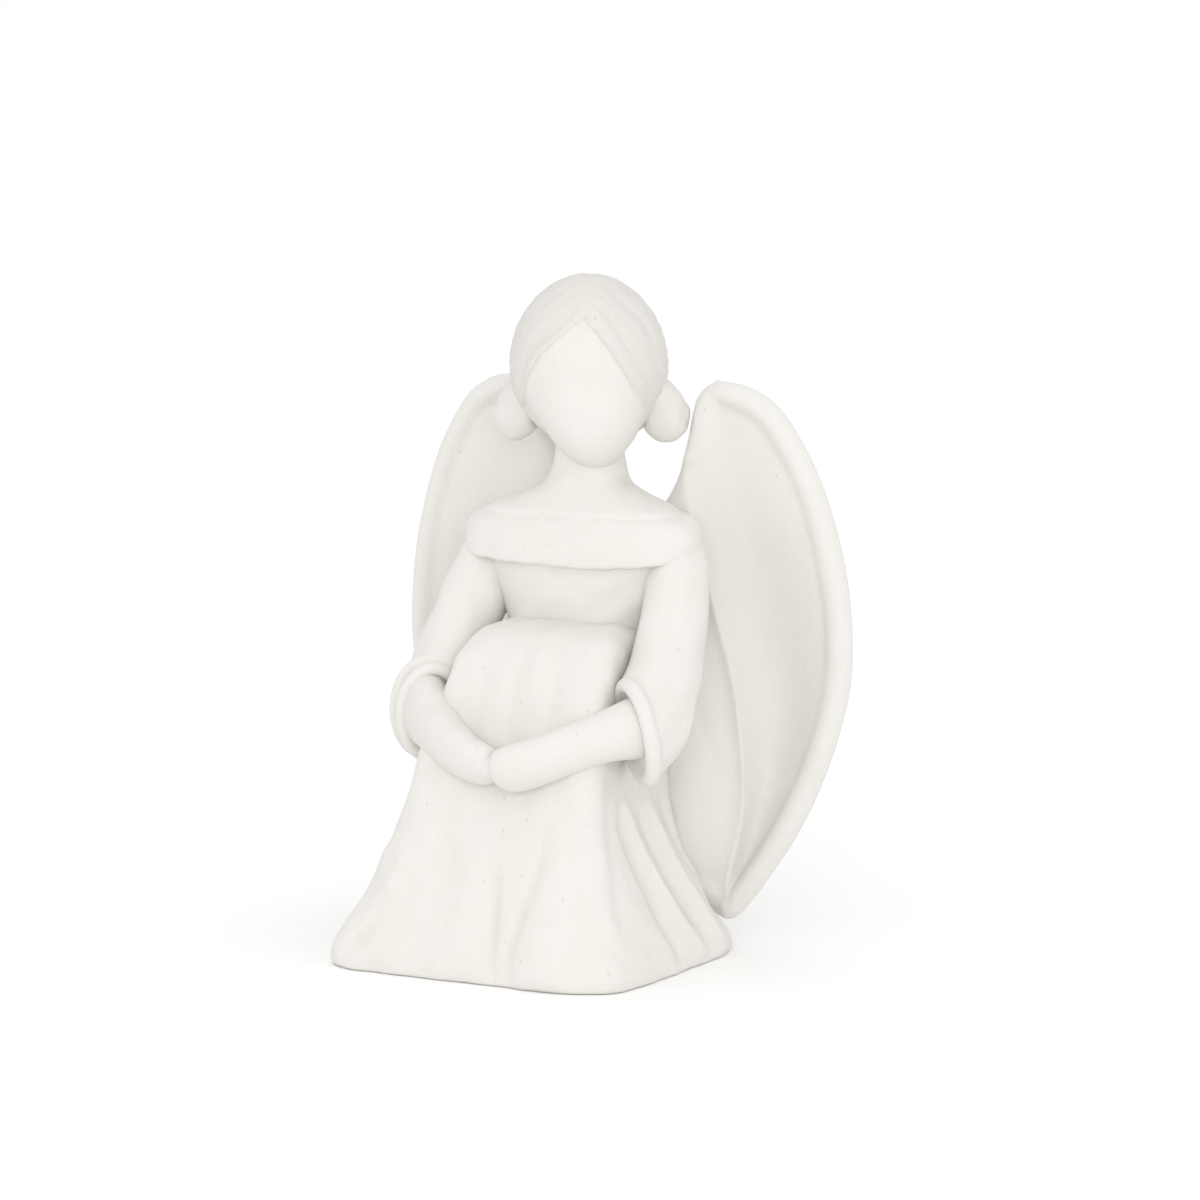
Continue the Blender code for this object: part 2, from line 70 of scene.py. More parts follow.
# Gown: height, then the corners front right, front left, back left and back right
GOWN_CORNERS = (
    (-6.0, -45.6, -52.4, 30.6, -47.2, 37.2, 12.6, -35.0, 12.6),
    (0.0, -45.6, -52.4, 30.6, -47.2, 37.2, 12.6, -35.0, 12.6),
    (3.0, -45.8, -52.6, 30.8, -47.4, 37.2, 12.8, -34.8, 12.8),
    (7.0, -44.6, -51.8, 30.0, -46.8, 35.6, 12.0, -33.6, 12.0),
    (14.0, -40.4, -48.8, 27.8, -45.0, 31.2, 10.2, -30.4, 10.2),
    (28.0, -33.6, -44.6, 24.8, -42.6, 23.6, 8.2, -23.2, 8.2),
    (40.0, -29.0, -41.6, 23.2, -40.7, 20.0, 7.6, -18.6, 7.6),
    (50.0, -26.2, -39.0, 22.2, -38.4, 19.8, 7.5, -16.8, 7.5),
    (60.0, -23.4, -35.4, 21.2, -35.0, 20.0, 7.5, -16.0, 7.5),
    (68.0, -21.8, -32.2, 20.8, -31.8, 20.0, 7.5, -15.6, 7.5),
    (76.0, -20.6, -29.2, 19.8, -29.0, 19.4, 7.5, -15.0, 7.5),
    (86.0, -19.4, -27.0, 18.4, -26.8, 18.0, 7.5, -14.6, 7.5),
)
GOWN_TOP, GOWN_UNDERSIDE = 79.6, 0.05
GOWN_EDGE_BLEND = ((0.0, 14.0), (14.0, 12.0), (40.0, 7.5), (60.0, 6.0), (80.0, 6.0))  # height, blend
GOWN_SIDES_BLEND, GOWN_TOP_BLEND, GOWN_FOOT_BLEND = 9.0, 6.5, 0.7
DENTS_TALL, RIPPLES_TALL = 0.6, 0.35  # heights are scaled by these, so dents are taller than wide
KNEE_CROWN = 0.0016  # how fast the knees' top falls away to each side
KNEE_DROOP, KNEE_DROOP_Y = 0.02, -14.0  # how fast it falls to the front, and from where

# Folds: a line on the gown as seen square on, then width and height. A groove's height is negative.
FRONT_FOLDS = (  # x, z
    (((0.2, 26.0), (0.4, 13.0), (1.4, 1.0)), 1.3, -0.75),
    (((11.8, 40.0), (10.6, 29.0), (7.0, 16.0), (5.6, 7.0), (5.2, 0.0)), 1.7, -0.9),
    (((-24.0, 29.0), (-27.0, 20.0), (-34.0, 8.0)), 2.2, 1.1),
    (((-27.0, 19.0), (-32.0, 10.0), (-38.0, 3.0)), 2.0, -1.3),
    (((-13.0, 40.0), (-15.0, 18.0), (-18.0, 2.0)), 3.6, -0.6),
    (((-6.0, 38.0), (-7.0, 20.0), (-9.0, 1.0)), 3.4, 0.6),
    (((19.5, 36.0), (20.0, 18.0), (21.0, 2.0)), 3.0, -0.45),
    (((13.0, 16.0), (13.0, 0.0)), 5.5, 1.6),
    (((-1.0, 82.0), (-1.6, 68.0), (-1.0, 54.0)), 2.0, -0.65),
    (((-9.5, 78.0), (-10.0, 54.0)), 2.4, -0.35),
    (((8.0, 76.0), (9.0, 54.0)), 2.0, -0.45),
    (((3.2, 80.0), (3.0, 66.0)), 1.0, 0.35),
)
LEFT_FOLDS = (  # y, z
    (((-24.0, 41.0), (-17.0, 22.0), (-8.0, 2.0)), 1.9, 1.5),
    (((-28.0, 38.0), (-21.0, 19.0), (-17.0, 1.0)), 2.3, -1.7),
    (((-11.0, 39.0), (-4.0, 17.0), (2.0, 1.0)), 1.9, 1.4),
    (((-16.5, 37.0), (-10.0, 18.0), (-3.5, 1.0)), 1.7, -1.5),
    (((-31.0, 48.0), (-34.0, 28.0), (-36.0, 8.0)), 2.8, -0.9),
    (((-4.0, 38.0), (3.0, 16.0), (8.0, 2.0)), 1.7, -1.0),
)
RIGHT_FOLDS = (  # y, z
    (((-34.0, 32.0), (-32.0, 14.0), (-30.0, 1.0)), 2.8, -1.3),
    (((-24.0, 36.0), (-18.0, 16.0), (-13.0, 1.0)), 2.2, 1.3),
    (((-15.0, 36.0), (-8.0, 15.0), (-3.0, 1.0)), 2.4, -1.3),
    (((-6.0, 34.0), (0.0, 14.0), (4.0, 1.0)), 2.0, 0.9),
)
BACK_FOLDS = (  # x, z
    (((-20.0, 40.0), (-24.0, 18.0), (-27.0, 1.0)), 2.6, -1.0),
    (((-9.0, 36.0), (-11.0, 16.0), (-13.0, 1.0)), 2.4, 0.8),
    (((2.0, 40.0), (3.0, 18.0), (3.0, 1.0)), 2.6, -0.9),
    (((13.0, 34.0), (16.0, 16.0), (19.0, 1.0)), 2.2, 0.8),
    (((20.0, 38.0), (24.0, 18.0), (28.0, 1.0)), 2.0, -0.8),
)

# Torso: height, middle's y, half width, half depth
TORSO = (
    (58.0, -1.5, 14.0, 8.6),
    (68.0, -1.6, 16.0, 10.2),
    (74.0, -1.8, 17.8, 11.0),
    (80.0, -2.0, 19.6, 11.5),
    (85.0, -2.4, 21.2, 11.9),
    (90.0, -2.8, 22.6, 12.1),
    (94.5, -3.0, 25.2, 12.3),
    (98.0, -2.9, 26.4, 11.9),
    (102.0, -2.7, 26.8, 11.4),
    (104.6, -2.2, 25.4, 10.5),
    (106.6, -1.4, 20.6, 9.6),
    (108.6, -0.7, 15.0, 8.9),
    (110.8, 0.0, 10.6, 8.3),
    (113.5, 0.5, 8.7, 7.8),
    (118.0, 0.9, 8.1, 7.4),
    (124.0, 1.0, 8.0, 7.2),
)
COLLAR = (
    (88.0, -3.0, 26.6, 11.9),
    (93.6, -3.1, 28.4, 12.7),
    (96.2, -3.1, 29.5, 13.0),
    (99.5, -3.0, 29.8, 12.8),
    (102.5, -2.8, 28.6, 12.1),
    (104.6, -2.4, 26.2, 11.1),
    (108.0, -1.5, 18.6, 9.9),
    (112.0, -0.5, 10.5, 8.5),
)
COLLAR_LOW, COLLAR_HIGH = 95.0, 104.9  # its edges, before its front is let down
COLLAR_DIP_LOW, COLLAR_DIP_HIGH = 2.9, 2.3  # how far its edges are let down at the front
COLLAR_DIP_Y, COLLAR_DIP_RUN = 6.0, 22.0  # where that starts, and how far forward it grows
COLLAR_WAVE, COLLAR_WAVE_LOW, COLLAR_WAVE_HIGH = 0.25, 7.0, 9.0  # height, then width at each edge
COLLAR_SWELL = 0.45
COLLAR_GROOVE, COLLAR_GROOVE_WIDTH, COLLAR_GROOVE_PLACE = 0.45, 0.7, 0.2  # along its top edge
COLLAR_TOP_BLEND, COLLAR_FOOT_BLEND, COLLAR_SEAM = 1.0, 1.3, 0.35
SKIN_SQUARENESS, COLLAR_SQUARENESS = 2.45, 2.4  # 2 is a plain oval
BODICE_FOOT = 60.0

# Hair and skull: an egg whose lower part lies further back
HEAD_TURN = math.radians(20)
HAIR_MIDDLE_Z, HAIR_HALF_UP, HAIR_HALF_DOWN = 138.0, (18.7, 17.7, 21.6), (18.7, 17.7, 19.6)
HAIR_MIDDLE_Y = ((108.0, 6.5), (118.0, 5.6), (122.0, 4.7), (127.0, 3.2), (132.0, 2.0), (138.0, 1.2),
                 (145.0, 1.0), (162.0, 1.0))
SKULL_INSET = 0.9
FACE_TAPER_BLEND = 5.0
FACE_MIDDLE, FACE_HALF = (0.2, -1.7, 131.2), (14.3, 13.6, 16.6)
FACE_TAPER, FACE_LEAN = 0.24, (0.14, 0.20)  # both grow below its middle
HAIRLINE_LEFT = (  # x, z
    (0.9, 149.8), (6.1, 144.0), (9.2, 139.1), (11.6, 134.4), (13.8, 128.6), (16.0, 122.0), (20.0, 112.0),
)
HAIRLINE_RIGHT = ((-24.0, 112.0), (-15.6, 126.0), (-13.4, 134.0), (-10.0, 140.2), (-5.0, 145.2), (0.9, 149.8))
HAIR_CREASE_LEFT = ((4.0, 153.5), (7.4, 148.6), (9.6, 145.6), (12.4, 140.6), (14.9, 135.8), (17.0, 129.0))
HAIR_CREASE_RIGHT = (
    (-0.5, 153.5), (-4.4, 148.4), (-8.0, 145.6), (-11.3, 142.4), (-13.8, 138.0), (-15.6, 131.0),
)
HAIR_CREASE_OUTER = ((6.0, 155.0), (12.0, 151.0), (15.2, 146.0), (17.4, 138.0), (18.4, 130.0))
HAIR_CREASES = (  # width, height
    (HAIR_CREASE_RIGHT, 0.8, -0.85),
    (HAIR_CREASE_LEFT, 0.8, -0.75),
    (HAIR_CREASE_OUTER, 0.8, -0.35),
)
CREASES_FRONT = (0.0, 4.0)  # the creases fade between these y
PARTING = ((0.5, -5.0, 158.6), (0.2, 2.0, 160.0), (0.0, 9.0, 158.0), (0.0, 15.0, 152.0),
           (0.0, 18.6, 143.0), (0.0, 18.6, 133.0), (0.0, 15.5, 124.0))
PARTING_DEPTH, PARTING_WIDTH = 0.3, 0.8
STRAND_HEIGHT, STRAND_START = 0.085, (1.5, 4.0)  # the strands rise at this distance from the hairline
STRAND_SPACING, BACK_STRAND_SPACING, BACK_STRAND_FALL = 2.3, 2.5, 0.35
STRANDS_MEET = (-4.0, 2.0)  # y between which the front strands give way to the back ones
OPENING_BACK_Y, OPENING_BLEND = -2.0, 2.0
HAIR_EDGE_BLEND, SKULL_BLEND, HAIR_SEAM = 1.1, 2.0, 0.45
HAIR_SHADE_EDGE = (0.4, -0.2)  # the hair's painted shade grows as the hair rises past the face by this much

BUN_MIDDLE, BUN_HALF = (17.9, 4.2, 126.2), (5.7, 5.3, 6.3)
BUN_STEM_MIDDLE, BUN_STEM_HALF, BUN_STEM_BLEND = (15.4, 3.4, 131.0), (4.8, 4.8, 4.6), 3.0
BUN_COIL, BUN_COIL_SPACING, BUN_COIL_START = 0.14, 3.4, 2.0
# how much painted shade the buns get
BUN_HAIR_SHADE = 0.6

# Each arm as if it were the left one: x, y, z, half width, half height, from the shoulder down
SLEEVES = {
    "left": (
        (22.6, -1.4, 102.0, 5.2, 6.6),
        (25.0, -2.8, 93.0, 6.6, 7.6),
        (26.9, -7.6, 82.5, 7.4, 7.9),
        (27.9, -13.6, 72.5, 7.8, 8.4),
        (28.2, -19.4, 64.8, 8.2, 9.4),
        (28.2, -23.8, 60.2, 8.2, 10.8),
        (26.5, -27.4, 57.2, 8.2, 11.6),
    ),
    "right": (
        (22.4, -1.4, 102.0, 5.4, 6.8),
        (24.2, -2.8, 93.0, 7.4, 8.0),
        (26.4, -7.8, 82.5, 8.3, 8.3),
        (28.4, -14.0, 72.5, 8.0, 8.6),
        (29.2, -19.8, 64.8, 7.6, 9.6),
        (28.8, -24.0, 60.2, 7.4, 10.6),
        (26.9, -27.4, 57.4, 7.4, 11.3),
    ),
}
CUFF_FACING = (-0.62, -0.76, -0.20)
CUFF_WALL, CUFF_HOLLOW, CUFF_SOLE = 2.2, 1.0, 5.4  # its lower lip is thicker by the sole
CUFF_ROLLS = {  # distance back, radius, how far its middle lies outside the opening
    "left": ((0.9, 1.9, -0.6),),
    "right": ((0.7, 1.6, -0.4), (4.4, 1.6, 0.5)),
}
CUFF_END_BLEND, CUFF_ROLL_BLEND, CUFF_DISH_BLEND, CUFF_LIP_BLEND = 1.2, 0.6, 1.6, 1.2
SLEEVE_TOP = 99.0
ELBOW_WRINKLES = (
    (((21.5, -15.0, 72.0), (25.5, -21.5, 69.5), (31.0, -25.0, 66.5)), 1.3, -0.6),
    (((22.5, -11.0, 77.0), (26.0, -16.5, 76.5), (31.5, -19.5, 75.0)), 1.3, -0.45),
    (((36.0, -10.0, 72.0), (37.0, -18.0, 62.0), (33.5, -25.0, 52.0)), 2.2, 0.5),
)
LIMB_UP = (-0.45, -0.55, 0.70)

# Forearms and hands, in the same way, from the wrist to the fingers' ends
HANDS = {
    "left": (
        (33.0, -20.5, 60.8, 5.4, 7.4),
        (27.5, -28.2, 58.6, 5.4, 7.2),
        (21.5, -34.6, 56.6, 4.9, 5.7),
        (15.5, -39.4, 54.2, 4.8, 5.6),
        (9.6, -42.6, 51.6, 4.7, 5.9),
        (4.6, -44.2, 50.0, 4.4, 5.9),
        (1.2, -44.9, 49.6, 3.6, 4.8),
        (-0.4, -45.1, 49.5, 2.2, 3.0),
    ),
    "right": (
        (33.0, -20.5, 60.6, 5.6, 9.4),
        (28.2, -27.6, 58.4, 5.8, 9.4),
        (21.5, -34.2, 55.8, 5.4, 7.4),
        (15.5, -38.9, 53.6, 5.0, 6.4),
        (9.6, -42.0, 51.4, 4.7, 6.0),
        (4.6, -43.2, 50.2, 4.2, 5.8),
        (1.4, -43.6, 50.0, 3.4, 4.6),
        (0.2, -43.8, 49.9, 2.2, 3.0),
    ),
}
HAND_START = 33.0  # x where the forearm is cut off, inside the sleeve

# Wing: span and height of its outline, from its top, down the outer edge and up the inner edge
WING_FRONT_Y, WING_SWEEP = 6.4, math.radians(10)
WING_OUTLINE = (
    (27.8, 134.6), (36.0, 133.0), (44.0, 127.4), (52.8, 112.4), (58.6, 93.4), (61.0, 74.0),
    (59.4, 56.5), (53.4, 38.5), (46.0, 24.0), (37.0, 10.5), (31.5, 6.0), (25.0, 10.0),
    (15.0, 22.0), (6.5, 40.0), (3.5, 58.0), (3.5, 76.0), (6.0, 89.0), (11.5, 99.0),
    (17.6, 109.0), (21.0, 119.5), (23.4, 130.2),
)
WING_OUTER_POINTS = 12  # how many of the outline's points, from its top, lie along the rolled rim
RIGHT_WING_INNER = ((8.5, 99.0), (11.5, 109.0), (15.5, 119.5), (22.6, 130.0))  # its last points
WING_RIDGE = ((5.0, 31.0), (14.4, 31.6), (29.4, 34.8), (44.0, 35.4), (63.2, 32.8), (77.5, 29.0),
              (96.5, 24.0), (110.0, 20.5), (124.0, 22.0), (134.0, 27.0))  # height, span
WING_BOWL = ((5.0, 0.0), (14.0, 1.2), (30.0, 3.9), (50.0, 5.8), (70.0, 5.8), (90.0, 4.4),
             (105.0, 3.0), (120.0, 1.6), (134.0, 0.4))  # height, depth
WING_BOWL_LEAN, WING_BOWL_ROUND = 0.72, 1.15  # its deepest place, and how steep its sides are
WING_BOWL_LEAST = 2.0  # its least width, by the wing's tips
WING_RIDGE_STEP, WING_RIDGE_HEIGHT, WING_RIDGE_WIDTH = (0.2, 1.6), 0.45, 1.9
WING_PANEL_RISE, WING_PANEL_SPAN = 4.6, (0.8, 15.0)  # the panel inward of the ridge comes forward
WING_RIDGE_FADE = (114.0, 88.0)  # the ridge grows as the height falls between these
WING_GROOVE, WING_GROOVE_DEPTH, WING_GROOVE_WIDTH = ((21.5, 66.0), (25.5, 54.0), (31.5, 37.0)), 0.4, 1.2
WING_RIM_WIDTH, WING_RIM_STEP, WING_RIM_SLOPE = 5.2, 0.8, (2.0, 1.5)
WING_RIM_RADIUS, WING_RIM_MIDDLE, WING_RIM_FORWARD = 1.8, 3.3, 0.2
WING_RIM_START, WING_RIM_END, WING_RIM_SINK = 0.22, 0.93, 3.0  # where it reaches full size, and its taper
WING_THIN, WING_THICK, WING_THIN_SPAN = 4.5, 7.8, (4.0, 34.0)
WING_TALL = 0.7  # the front's dents are taller than wide
WING_SHELL_BLEND, WING_EDGE_OUT, WING_EDGE_BLEND, WING_RIM_BLEND = 1.0, 0.7, 4.4, 2.2

# Resin colours, painted shade and a painted highlight, and how much of each shows at most
RESIN_PALE = (0.736, 0.719, 0.685, 1.0)
RESIN_WARM = (0.710, 0.688, 0.642, 1.0)
# painted shade, used in creases, corners and pinholes
PAINTED_SHADE_COLOUR = (0.515, 0.483, 0.425, 1.0)
# a painted highlight, used on convex edges and ridges
PAINTED_HIGHLIGHT_COLOUR = (0.750, 0.739, 0.716, 1.0)
# painted shade for the hair, which is darker than the face
HAIR_PAINTED_SHADE = (0.640, 0.620, 0.588, 1.0)
HAIR_SHADE_SHARE, BLOTCH_SHARE, STREAK_SHARE = 0.8, 0.45, 0.22
CREASE_SHADE_SHARE, RIDGE_HIGHLIGHT_SHARE, CORNER_SHADE_SHARE, PIT_SHADE_SHARE = 0.55, 0.4, 0.4, 0.35
CORNER_SHADE_DISTANCE = 0.0025

# Readings between which each mask goes from none to all
BLOTCH_RANGE, STREAK_RANGE, GRAIN_RANGE, FIBRE_RANGE = (0.35, 0.68), (0.42, 0.70), (0.3, 0.7), (0.35, 0.65)
CREASE_SHADE_RANGE, RIDGE_HIGHLIGHT_RANGE, CORNER_SHADE_RANGE = (0.02, 0.22), (-0.03, -0.20), (0.55, 0.15)
PIT_RANGE, PIT_CLUSTER_RANGE = (0.085, 0.04), (0.45, 0.52)
RESIN_ROUGHNESS, STEEL_ROUGHNESS = (0.60, 0.74), (0.28, 0.45)

# Noise scales, in waves to the metre
BLOTCH_SCALE, STREAK_SCALE, FINE_SCALE = (90.0, 90.0, 60.0), (900.0, 900.0, 110.0), (2600.0, 2600.0, 2600.0)
PIT_SCALE, PIT_CLUSTER_SCALE = (330.0, 330.0, 130.0), (55.0, 55.0, 55.0)
BRUSH_SCALE, DAB_SCALE = (1500.0, 1500.0, 160.0), (300.0, 300.0, 150.0)
FIBRE_SCALE, TURNING_SCALE, FLOOR_SCALE = (3200.0, 3200.0, 3200.0), (300.0, 300.0, 4000.0), (3.0, 3.0, 3.0)

# Bumps: strength and distance
BRUSH_BUMP, DAB_BUMP, FINE_BUMP, PIT_BUMP = (0.35, 0.00016), (0.35, 0.00035), (0.25, 0.00006), (0.5, 0.0002)
FIBRE_BUMP = (0.6, 0.0002)

FELT_DARK, FELT_PALE = (0.62, 0.60, 0.56, 1.0), (0.78, 0.76, 0.72, 1.0)
STEEL_DARK, STEEL_PALE = (0.50, 0.50, 0.51, 1.0), (0.66, 0.66, 0.67, 1.0)
FLOOR_DARK, FLOOR_PALE = (0.96, 0.96, 0.96, 1.0), (0.98, 0.98, 0.98, 1.0)
FLOOR_HALF = 3.0  # half its side, in metres

# The camera looks from the figure's left front, at a place beside and above the axis's foot
CAMERA_TURN, CAMERA_RISE = math.radians(28), math.radians(8)
CAMERA_AWAY, CAMERA_LENS, CAMERA_SENSOR, CAMERA_CLIP = 0.790, 100.0, 36.0, 0.01
LOOK_ASIDE, LOOK_HEIGHT = 0.0028, 0.0826

ROOM_BRIGHT_SIDE = (0.40, -0.75, 0.52)
ROOM_STRENGTH = (0.80, 1.12)  # behind the figure, and in front of it
ROOM_REACH = (-1.0, 0.7)  # between which cosines from the bright side the strength changes
KEY_PLACE, KEY_POWER, KEY_SIZE, KEY_AIM = (0.68, -1.30, 0.45), 4.0, 0.8, 0.07


def smooth_min(a, b, blend):
    """The union of two fields, with the crease between them filled over this width."""
    near = np.maximum(blend - np.abs(a - b), 0.0) / blend
    return np.minimum(a, b) - near * near * blend / 4


def smooth_max(a, b, blend):
    return -smooth_min(-a, -b, blend)


def hump(far, width):
    """1 at no distance, falling to 0 beyond about twice the width."""
    return np.exp(-((far / width) ** 2))


def catmull_rom(rows, count):
    """count rows along the smooth curve through the given ones."""
    rows = np.array(rows, float)
    place = np.linspace(0, len(rows) - 1, count)
    i = np.minimum(place.astype(int), len(rows) - 2)
    t = (place - i)[:, None]
    a, b = rows[np.maximum(i - 1, 0)], rows[i]
    c, d = rows[i + 1], rows[np.minimum(i + 2, len(rows) - 1)]
    return 0.5 * (2 * b + (c - a) * t + (2 * a - 5 * b + 4 * c - d) * t**2 + (3 * b - a - 3 * c + d) * t**3)


def read(rows, values):
    """Each column of a table, read smoothly at these values of its first column."""
    dense = catmull_rom(rows, TABLE_STEPS)
    return [np.interp(values, dense[:, 0], column) for column in dense[:, 1:].T]


def step(low, high, values):
    """0 below low, 1 above high, and smooth between. It falls instead where low is above high."""
    t = np.clip((values - low) / (high - low), 0.0, 1.0)
    return t * t * (3 - 2 * t)


def blurred(values, reach):
    """Each sample averaged with its neighbours up to this many samples away along each axis."""
    for axis in range(3):
        padding = [(reach + 1, reach) if k == axis else (0, 0) for k in range(3)]
        sums = np.cumsum(np.pad(values, padding, "edge"), axis)
        high = np.take(sums, range(2 * reach + 1, sums.shape[axis]), axis)
        low = np.take(sums, range(0, sums.shape[axis] - 2 * reach - 1), axis)
        values = (high - low) / (2 * reach + 1)
    return values


class Block:
    """A box of sample points in the figure's frame, in millimetres."""

    def __init__(self, low, high, pitch):
        self.low, self.pitch = np.array(low, float), pitch
        axes = [np.arange(a, b + pitch, pitch) for a, b in zip(low, high)]
        self.x, self.y, self.z = np.meshgrid(*axes, indexing="ij", sparse=True)
        self.shape = tuple(len(axis) for axis in axes)

    def mesh(self, name, field, hair_shade=0.0):
        """The surface where the field is zero, as a mesh in the row's frame.

        Its hollow attribute is above 0 in creases and below 0 on convex edges, which set where painted shade
        and a painted highlight go, and its other attribute, painted shade on hair and buns, is the given one.
        """
        values = np.clip(np.broadcast_to(field, self.shape), -FIELD_LIMIT, FIELD_LIMIT)
        grid = openvdb.FloatGrid(FIELD_LIMIT)
        grid.copyFromArray(np.ascontiguousarray(values, dtype=np.float32))
        points, quads = grid.convertToQuads(0.0)
        nearest = tuple(np.clip(np.rint(points).astype(int), 0, np.array(self.shape) - 1).T)
        reach = max(1, round(CREASE_REACH / self.pitch))
        smooth = blurred(values, reach)
        hollow = (blurred(smooth, reach) - smooth)[nearest] / (reach * self.pitch) ** 2
        points = points * self.pitch + self.low
        points[:, 1] += AXIS_Y
        a, b, c = (points[quads[:, k]] for k in range(3))
        if np.einsum("ij,ij->i", a, np.cross(b, c)).sum() < 0:
            quads = quads[:, ::-1]
        mesh = bpy.data.meshes.new(name)
        mesh.from_pydata(points * MM, [], quads)
        mesh.shade_smooth()
        hair_shades = np.broadcast_to(hair_shade, self.shape)[nearest]
        for title, numbers in (("hollow", -hollow), ("hair_shade", hair_shades)):
            attribute = mesh.attributes.new(title, "FLOAT", "POINT")
            attribute.data.foreach_set("value", numbers.astype(np.float32))
        return mesh


def dents(x, y, z, kind, side=0):
    """A smooth random field: the dents and swellings of hand modelling."""
    height, size, seed = kind
    rng = np.random.default_rng(seed + side)
    total = 0.0
    for _ in range(WAVES):
        way = rng.normal(size=3)
        way *= math.tau / (size * rng.uniform(*WAVE_LENGTHS) * np.linalg.norm(way))
        total = total + np.sin(way[0] * x + way[1] * y + way[2] * z + rng.uniform(0, math.tau))
    return height * (total / WAVES_SUM)


def ellipsoid(x, y, z, middle, half):
    p = [(v - m) / h for v, m, h in zip((x, y, z), middle, half)]
    reach = np.sqrt(p[0] ** 2 + p[1] ** 2 + p[2] ** 2) + TINY
    slope = np.sqrt(sum((v / h) ** 2 for v, h in zip(p, half))) + TINY
    return (reach - 1) * reach / slope


def oval_section(x, y, half_x, half_y, squareness=2.0):
    """Distance from an upright oval column whose half sizes may change with height."""
    u, v = np.abs(x) / half_x, np.abs(y) / half_y
    reach = (u**squareness + v**squareness) ** (1 / squareness) + TINY
    slope = np.sqrt((u / half_x) ** 2 + (v / half_y) ** 2) / reach + TINY
    return (reach - 1) / slope


def line_distance(points, *at):
    """Distance from a run of straight lines, and the place along it from 0 to 1, for each point."""
    points = np.array(points, float)
    best, place = 1e9, 0.0
    for i, (start, end) in enumerate(zip(points, points[1:])):
        way = end - start
        t = sum((v - s) * w for v, s, w in zip(at, start, way)) / (way @ way)
        t = np.clip(t, 0.0, 1.0)
        far = sum((v - s - t * w) ** 2 for v, s, w in zip(at, start, way))
        nearer = far < best
        best = np.where(nearer, far, best)
        place = np.where(nearer, (i + t) / (len(points) - 1), place)
    return np.sqrt(best), place


def relief(folds, *at):
    """How far ridges stand out of the surface and grooves go in. Each fold fades at its ends."""
    total = 0.0
    for points, width, height in folds:
        far, place = line_distance(catmull_rom(points, 3 * len(points)), *at)
        fade = np.sqrt(np.sin(math.pi * place))
        total = total + height * fade * hump(far, width)
    return total


def normalised(vectors):
    return vectors / np.linalg.norm(vectors, axis=-1, keepdims=True)


def swept(block, stations, side):
    """Distance from a limb of oval section, along a path through its stations."""
    rows = catmull_rom(stations, 5 * len(stations))
    middles = rows[:, :3]
    ahead = normalised(np.gradient(middles, axis=0))
    up = np.array(LIMB_UP)
    up = normalised(up - (ahead @ up)[:, None] * ahead)
    across = np.cross(ahead, up)
    at = (block.x * side, block.y, block.z)
    _, place = line_distance(middles, *at)
    place = place * (len(rows) - 1)
    index = np.arange(len(rows))

    def along(columns):
        return [np.interp(place, index, column) for column in columns.T]

    offset = [v - m for v, m in zip(at, along(middles))]
    wide = sum(o * a for o, a in zip(offset, along(across)))
    high = sum(o * a for o, a in zip(offset, along(up)))
    end = np.abs(sum(o * a for o, a in zip(offset, along(ahead))))
    half_wide, half_high = along(rows[:, 3:5])
    body = oval_section(wide, high, half_wide, half_high)
    return np.where(body > 0, np.sqrt(np.maximum(body, 0) ** 2 + end**2), np.maximum(body, end - half_wide))


def gown_sides(x, y, z):
    """Distance outward from each of the gown's four leaning faces."""
    corners = read(GOWN_CORNERS, z)
    points = [(corners[k], corners[k + 1]) for k in (0, 2, 4, 6)]
    for (x0, y0), (x1, y1) in zip(points, points[1:] + points[:1]):
        length = np.sqrt((x1 - x0) ** 2 + (y1 - y0) ** 2)
        out = ((y1 - y0) / length, -(x1 - x0) / length)
        reach = x0 * out[0] + y0 * out[1]
        lean = np.gradient(np.ravel(reach), np.ravel(z)).reshape(reach.shape)
        yield (x * out[0] + y * out[1] - reach) / np.sqrt(1 + lean**2)


def gown_field(block):
    x, y, z = block.x, block.y, block.z
    front, left, back, right = gown_sides(x, y, z)
    front = front - relief(FRONT_FOLDS, x, z)
    back = back - relief(BACK_FOLDS, x, z)
    left = left - relief(LEFT_FOLDS, y, z)
    right = right - relief(RIGHT_FOLDS, y, z)
    across = smooth_max(left, right, GOWN_SIDES_BLEND)
    along = smooth_max(front, back, GOWN_SIDES_BLEND)
    field = smooth_max(across, along, np.interp(z, *zip(*GOWN_EDGE_BLEND)))
    field = field - dents(x, y, z * DENTS_TALL, GOWN_DENTS) - dents(x, y, z * RIPPLES_TALL, GOWN_RIPPLES)
    top = GOWN_TOP - KNEE_CROWN * x * x - KNEE_DROOP * np.maximum(KNEE_DROOP_Y - y, 0.0) ** 2
    field = smooth_max(field, z - top - dents(x, y, z, GOWN_TOP_DENTS), GOWN_TOP_BLEND)
    return smooth_max(field, GOWN_UNDERSIDE - z, GOWN_FOOT_BLEND)


